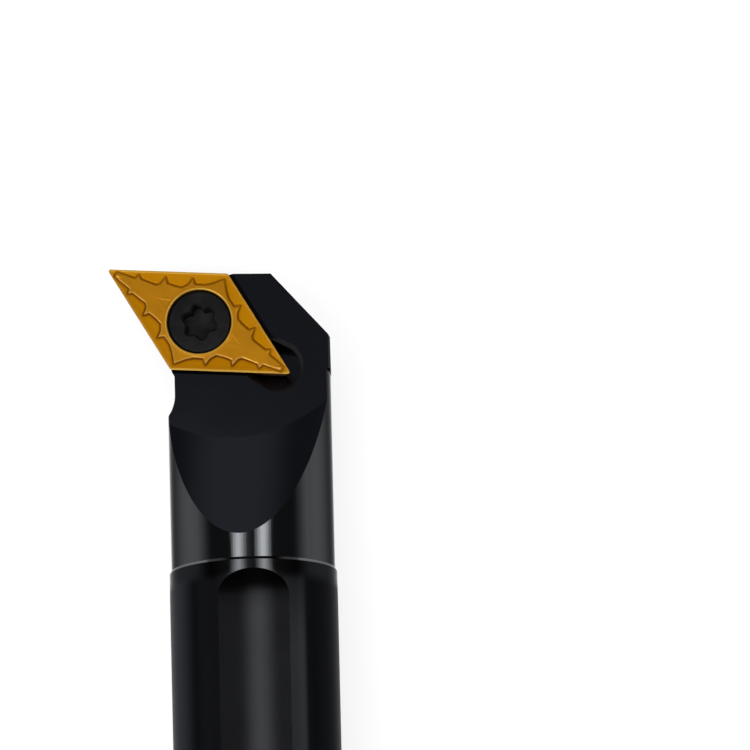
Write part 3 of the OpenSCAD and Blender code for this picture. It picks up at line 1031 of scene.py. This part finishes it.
# %% Where a point of the bar lies
# radii and places are in metres here, as in the finished piece
steel = Finish("blackened_steel")
place_x, place_y, place_z = steel.parts(steel.place)
face_x, face_y, face_z = steel.parts(steel.normal)
off_axis = steel.add("ShaderNodeCombineXYZ")
steel.wire(place_x, off_axis.inputs["X"])
steel.wire(place_z, off_axis.inputs["Z"])
radius = steel.vector("LENGTH", off_axis.outputs[0])
outward = steel.vector("NORMALIZE", off_axis.outputs[0])
facing = steel.vector("DOT_PRODUCT", steel.normal, outward)
is_shank = steel.math("LESS_THAN", place_y, (SHOULDER_Y + 0.02) * MM)
is_round = steel.times(steel.ramp(radius, 0.0076, 0.00765), steel.ramp(facing, 0.97, 0.985))
is_turned = steel.times(is_round, steel.math("SUBTRACT", 1.0, is_shank))
not_round = steel.math("MAXIMUM", steel.ramp(radius, 0.0079, 0.0078), steel.ramp(facing, 0.98, 0.95))
is_flat = steel.times(is_shank, not_round)
is_milled = steel.math("SUBTRACT", 1.0, steel.math("MAXIMUM", is_shank, is_turned))
is_steep = steel.times(steel.ramp(face_z, 0.8, 0.7), is_milled)
print("masks of the bar's surfaces use", len(steel.tree.nodes), "nodes")

# %% [markdown]
# The black is not even, and these zones are set by place. A painted highlight lies as a lighter band
# beside the clamping flat and fades towards the shoulder, and a painted reflection lies low on the left
# flank. The middle of the flat is rougher, where clamping screws press. Painted shade darkens the flat
# towards its run-out and makes the run-out deep black. The shank's end beside the shoulder is smooth and
# has a painted highlight on its top. The shoulder's fine chamfer has painted highlights at both sides
# and is dark in its middle, and a lighter ring runs round the corner relief of the pocket.

# %% Painted light and shade on the bar, and where it is pressed
HIGHLIGHT_LEAN = 0.5
PRESSED_X = 0.0004
RELIEF_PLACE = Vector((0.0032, 0.1699, 0.001))
# painted highlight: a lighter band on the shank beside the clamping flat, fading towards the shoulder
highlight_way = Vector((math.sin(HIGHLIGHT_LEAN), 0, math.cos(HIGHLIGHT_LEAN)))
facing_highlight = steel.vector("DOT_PRODUCT", steel.normal, highlight_way)
behind_shoulder = steel.ramp(place_y, (SHOULDER_Y + 3) * MM, (SHOULDER_Y - 9) * MM)
is_flat_side_highlight = steel.times(steel.ramp(facing_highlight, 0.983, 0.9995), behind_shoulder)
# painted reflection: the shank's left flank is lighter
is_left_reflection = steel.ramp(face_x, -0.7, -0.9)
off_middle = steel.math("ABSOLUTE", steel.math("SUBTRACT", place_x, PRESSED_X))
is_pressed = steel.times(is_flat, steel.ramp(off_middle, 0.0022, 0.0))
# painted shade: the run-out where the flat ends in its arc
is_run_out = steel.times(is_flat, steel.ramp(face_y, -0.08, -0.3))
behind_run_out = steel.ramp(place_y, (SHOULDER_Y - 2.0) * MM, (SHOULDER_Y - 5.4) * MM)
is_top = steel.ramp(face_z, 0.86, 0.93)
near_shoulder = steel.ramp(place_y, (SHOULDER_Y - 2.4) * MM, (SHOULDER_Y - 1.0) * MM)
at_shoulder = steel.math("GREATER_THAN", place_y, (SHOULDER_Y - 0.35) * MM)
is_chamfer = steel.times(steel.times(steel.ramp(face_y, 0.2, 0.4), is_shank), at_shoulder)
# painted highlight at both sides of the shoulder's chamfer
is_chamfer_side_highlight = steel.ramp(steel.math("ABSOLUTE", place_x), 0.0022, 0.0032)
from_relief = steel.vector("DISTANCE", steel.place, RELIEF_PLACE)
is_ring = steel.times(steel.ramp(from_relief, 0.0032, 0.0026), steel.ramp(face_z, 0.5, 0.65))
print("with the worn zones:", len(steel.tree.nodes), "nodes")

# %% [markdown]
# The black layer behaves like a dark metal, and its specular tint keeps it dark towards its edges.
# Stretched noise gives the fine lines that a turning tool leaves round the bar. The turned neck is the
# smoothest, and the milled steep faces and the shank behind the shoulder are duller. One mix after the
# other then lays the tones on top of each other, from the widest surface to the smallest, and several of
# these tones are painted light and shade.

# %% Blackened steel
smudge = steel.noise(steel.place, 260, 4)
rings = steel.add("ShaderNodeCombineXYZ")
for value, scale, axis in ((place_x, 2, "X"), (place_y, 60, "Y"), (place_z, 2, "Z")):
    steel.wire(steel.times(value, scale), rings.inputs[axis])
lines = steel.noise(rings.outputs[0], 180, 2)
grain = steel.noise(steel.place, 9000, 2)

# painted shade: on the shank the faces turned upwards are lighter and the flanks darker
black = steel.blend(steel.ramp(face_z, 0.7, 0.85), (0.0042, 0.0046, 0.006), (0.012, 0.0125, 0.0145))
rough = steel.between(is_turned, steel.between(is_steep, 0.14, 0.35), 0.09)
rough = steel.between(is_shank, rough, steel.between(near_shoulder, 0.38, 0.12))
rough = steel.between(is_flat, rough, 0.12)
rough = steel.between(is_pressed, rough, 0.26)
rough = steel.math("ADD", rough, steel.times(steel.math("SUBTRACT", smudge, 0.5), 0.04))
# painted shade: the milled head's steep faces, such as the pocket's walls, are darker than its top
steep_tone = steel.blend(is_ring, (0.006, 0.0062, 0.0072), (0.04, 0.041, 0.045))
tone = steel.blend(is_steep, (0.0212, 0.0225, 0.0275), steep_tone)
tone = steel.blend(is_turned, tone, (0.055, 0.0575, 0.0605))
# painted highlight beside the flat, and painted reflection low on the left flank
painted_shank_tone = steel.blend(is_flat_side_highlight, black, (0.082, 0.085, 0.092))
painted_shank_tone = steel.blend(is_left_reflection, painted_shank_tone, (0.02, 0.0215, 0.027))
# painted highlight on the top of the shank's end beside the shoulder
band_tone = steel.blend(is_top, (0.012, 0.0125, 0.0145), (0.034, 0.035, 0.037))
tone = steel.blend(is_shank, tone, steel.blend(near_shoulder, painted_shank_tone, band_tone))
# painted light and shade: the flat is lighter further back and darker towards its run-out
flat_tone = steel.blend(behind_run_out, (0.0165, 0.017, 0.018), (0.044, 0.045, 0.048))
tone = steel.blend(is_flat, tone, flat_tone)
# painted shade: the run-out is deep black
tone = steel.blend(is_run_out, tone, (0.008, 0.008, 0.009))
# painted highlights at the chamfer's sides, and dark in its middle
chamfer_tone = steel.blend(is_chamfer_side_highlight, (0.006, 0.006, 0.007), (0.12, 0.122, 0.128))
tone = steel.blend(is_chamfer, tone, chamfer_tone)
edge_tint = steel.blend(is_shank, (0.38, 0.38, 0.38), (0.55, 0.55, 0.55))
relief = steel.bump(lines, 0.0000003)
relief = steel.bump(grain, 0.0000005, relief)
steel.put(Base_Color=tone, Metallic=1.0, Roughness=rough, Specular_Tint=edge_tint, Normal=relief)
print("blackened steel:", len(steel.tree.nodes), "nodes")

# %% [markdown]
# ### Golden coating
#
# The coating is a hard ceramic layer of a few thousandths of a millimetre. It shines like gold but less
# clearly than metal, because the pressed and sintered surface below it is slightly uneven. So the finish
# is part metal with a golden specular tint, and two noises give it fine waves and a grain. The zones
# stored on the mesh paint highlights on the lands, the hole's rim and the ridge, paint shade in the
# crease and the gap, and make the grooves duller.

# %% Golden coating
gold = Finish("golden_coating")
pale, ridge, crease, gap, groove = (
    gold.add("ShaderNodeAttribute", attribute_name=name).outputs["Fac"] for name in zones
)
patches = gold.noise(gold.place, 420, 3)
grain = gold.noise(gold.place, 16000, 2, 0.6)
waves = gold.noise(gold.place, 1900, 3)
tone = gold.blend(gold.ramp(patches, 0.3, 0.7), (0.235, 0.092, 0.0003), (0.275, 0.112, 0.0006))
tone = gold.blend(groove, tone, (0.27, 0.108, 0.0003))
# painted highlight on the lands and the hole's rim
tone = gold.blend(gold.times(pale, 0.6), tone, (0.42, 0.27, 0.05))
# painted highlight on the rear ridges
tone = gold.blend(gold.times(ridge, 0.35), tone, (0.5, 0.33, 0.09))
# painted shade in the crease
tone = gold.blend(gold.times(crease, 0.85), tone, (0.1, 0.025, 0.0001))
# painted shade in the gap beside the screw
tone = gold.blend(gap, tone, (0.012, 0.008, 0.003))
rough = gold.math("ADD", 0.27, gold.times(waves, 0.1))
sheltered = gold.math("MAXIMUM", crease, gold.times(groove, 0.85))
rough = gold.math("ADD", rough, gold.times(sheltered, 0.2))
gloss = gold.math("SUBTRACT", 0.5, gold.times(sheltered, 0.45))
relief = gold.bump(waves, 0.000004)
relief = gold.bump(grain, 0.0000022, relief)
gold.put(Base_Color=tone, Metallic=0.3, Roughness=rough, Specular_IOR_Level=gloss)
gold.put(Specular_Tint=(1.0, 0.62, 0.2), Normal=relief)
print("golden coating:", len(gold.tree.nodes), "nodes")

# %% [markdown]
# ### Dull black screw
#
# A cold-formed screw is blackened in a bath, which leaves a dull and even black. The finish is plain
# and not metallic, with faint patches in its tone and its roughness, and its reflections are weak.

# %% Dull black screw
dull = Finish("dull_black")
patches = dull.noise(dull.place, 900, 4)
grain = dull.noise(dull.place, 14000, 2, 0.6)
tone = dull.blend(dull.ramp(patches, 0.3, 0.7), (0.002, 0.002, 0.0024), (0.0042, 0.0042, 0.0046))
rough = dull.math("ADD", 0.3, dull.times(patches, 0.15))
relief = dull.bump(grain, 0.0000025)
dull.put(Base_Color=tone, Roughness=rough, Specular_IOR_Level=0.1, Normal=relief)
print("dull black:", len(dull.tree.nodes), "nodes")

# %% [markdown]
# Each dressed piece and the plain solid that it stands in for get the same material, so that every
# slot means one finish.

# %% Put the finishes on
finishes = {"bar": (bar, steel), "insert": (insert, gold), "clamp_screw": (screw, dull)}
for name, (piece, recipe) in finishes.items():
    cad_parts[name].data.materials.clear()
    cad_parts[name].data.materials.append(recipe.owner)
    piece.data.materials.clear()
    piece.data.materials.append(recipe.owner)
    print(name, "wears", recipe.owner.name)

# %% [markdown]
# ## Floor and light
#
# The tool lies on a white floor. Part of the floor's white is its own, for every ray that is seen
# directly, in a reflection or through something, so the floor reads white and still takes a shadow.

# %% Floor
OWN_WHITE_SHARE = 0.7
low_z = cad_box[0].z
bpy.ops.object.select_all(action="DESELECT")
bpy.ops.mesh.primitive_plane_add(size=12, location=(0, 0, low_z))
floor = bpy.context.object
floor.name = "floor"
white = Finish("white_floor")
white.put(Base_Color=(0.93, 0.93, 0.93), Roughness=0.9, Specular_IOR_Level=0.1)
own_white = white.add("ShaderNodeEmission")
own_white.inputs["Strength"].default_value = 1.04
rays_seen = white.add("ShaderNodeLightPath")
seen = white.math("MAXIMUM", rays_seen.outputs["Is Camera Ray"], rays_seen.outputs["Is Glossy Ray"])
seen = white.math("MAXIMUM", seen, rays_seen.outputs["Is Transmission Ray"])
mixer = white.add("ShaderNodeMixShader")
white.wire(white.times(seen, OWN_WHITE_SHARE), mixer.inputs[0])
white.wire(white.shader.outputs[0], mixer.inputs[1])
white.wire(own_white.outputs[0], mixer.inputs[2])
white.wire(mixer.outputs[0], white.tree.nodes["Material Output"].inputs["Surface"])
floor.data.materials.append(white.owner)
floor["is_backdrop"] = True
print("the floor lies at z, mm:", round(low_z / MM, 2))

# %% [markdown]
# Polished round steel shows its lamps as bands, so the lamps are placed by where their reflections have
# to lie. Two soft strips hang over the bar with a dark gap between them, and they make the two bright
# bands on the neck. A soft box at the rear left makes the bright lines along the insert's relief,
# together with the highlight painted on its ridges. A wide one overhead evens out the light without
# being seen in reflections.

# %% Soft boxes
def soft_box(name, centre, facing, long_axis, width, length, radiance):
    """A rectangular lamp at a place in metres that faces a point, with its long side along an axis."""
    data = bpy.data.lights.new(name, "AREA")
    data.shape = "RECTANGLE"
    data.size = width
    data.size_y = length
    # the watts that give the lamp's face this radiance
    data.energy = radiance * width * length * math.pi
    lamp = bpy.data.objects.new(name, data)
    z_axis = (centre - facing).normalized()
    y_axis = (long_axis - z_axis * z_axis.dot(long_axis)).normalized()
    x_axis = y_axis.cross(z_axis)
    turned = Matrix((x_axis, y_axis, z_axis)).transposed().to_4x4()
    lamp.matrix_world = Matrix.Translation(centre) @ turned
    lamp.visible_camera = False
    scene.collection.objects.link(lamp)
    return lamp


key = Vector((-0.58, -0.5, 0.64)).normalized()
target = Vector((-0.005, 0.17, 0))
print("the lamp at the rear left stands", round(math.degrees(math.asin(key.z))), "degrees up")


# %% Two strips and two single lamps
STRIP_DISTANCE = 0.13


def bright_strip(name, middle, width, near_y, far_y, radiance):
    """Soft boxes parallel to the bar, nested so that they are brightest in the middle.

    The middle and the width are angles from straight up, in degrees, as seen from the bar's axis.
    """
    lean = math.radians(middle)
    facing = Vector((0, (near_y + far_y) / 2, 0))
    # each box hangs a little below the larger one, because only one of two boxes in a plane is seen
    for below, share, portion in ((0, 1.0, 0.25), (0.002, 0.64, 0.4), (0.004, 0.3, 0.35)):
        distance = STRIP_DISTANCE - below
        centre = facing + Vector((math.sin(lean), 0, math.cos(lean))) * distance
        size = 2 * distance * math.tan(math.radians(width / 2)) * share
        soft_box(name, centre, facing, Vector((0, 1, 0)), size, far_y - near_y, radiance * portion)


bright_strip("strip_left", -20.0, 22, 0.135, 0.179, 6.6)
bright_strip("strip_right", 15.4, 22, 0.135, 0.2, 7.2)
soft_box("key_rear_left", target + key * 0.7, target, Vector((0, 0, 1)), 0.32, 0.22, 15)
overhead = soft_box(
    "overhead_fill", Vector((0, 0.15, 1.2)), Vector((0, 0.15, 0)), Vector((0, 1, 0)), 1.2, 1.2, 2.4
)
overhead.visible_glossy = False

# %% [markdown]
# The surroundings are what the steel reflects between the lamps. They are bright at both sides near the
# horizon, and dark at the rear and above, with soft patches of light in front and overhead. They are
# worked out from the direction alone, so no picture is needed.

# %% Surroundings
world = bpy.data.worlds.new("studio")
sky = Recipe(world)
direction = sky.add("ShaderNodeTexCoord").outputs["Generated"]
sky_y, sky_z = sky.parts(direction)[1:]


def soft_patch(towards, half_width, strength):
    """A soft patch of light in one direction, with its half width in degrees."""
    along = sky.vector("DOT_PRODUCT", direction, Vector(towards).normalized())
    return sky.ramp(along, math.cos(math.radians(half_width)), 1.0, 0.0, strength)


horizon = sky.ramp(sky_z, -0.05, 0.5, 1.15, 0.08)
level = sky.between(sky.ramp(sky_y, 0.45, 0.85), horizon, 0.25)
level = sky.between(sky.ramp(sky_y, -0.05, -0.35), level, 0.12)
for patch in (
    ((-0.16, 0.94, 0.30), 19, 0.5),
    ((-0.20, 0.19, 0.96), 14, 0.28),
    ((0.0, 0.56, 0.83), 22, 1.2),
):
    level = sky.math("ADD", level, soft_patch(*patch))
sky.wire(level, sky.tree.nodes["Background"].inputs["Strength"])
sky.tree.nodes["Background"].inputs["Color"].default_value = (0.97, 0.98, 1.0, 1)
scene.world = world
scene.view_settings.view_transform = "Standard"
print("surroundings:", len(sky.tree.nodes), "nodes")

# %% [markdown]
# At the end the box round the dressed model is measured and set against the box of the solids. They
# should agree closely, because the looks only add what is too fine for the solids.

# %% Sizes and the end
made_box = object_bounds()
gaps = [abs(a - b) for cad, made in zip(cad_box, made_box) for a, b in zip(cad, made)]
print("largest difference of the boxes, mm:", round(max(gaps) / MM, 3))
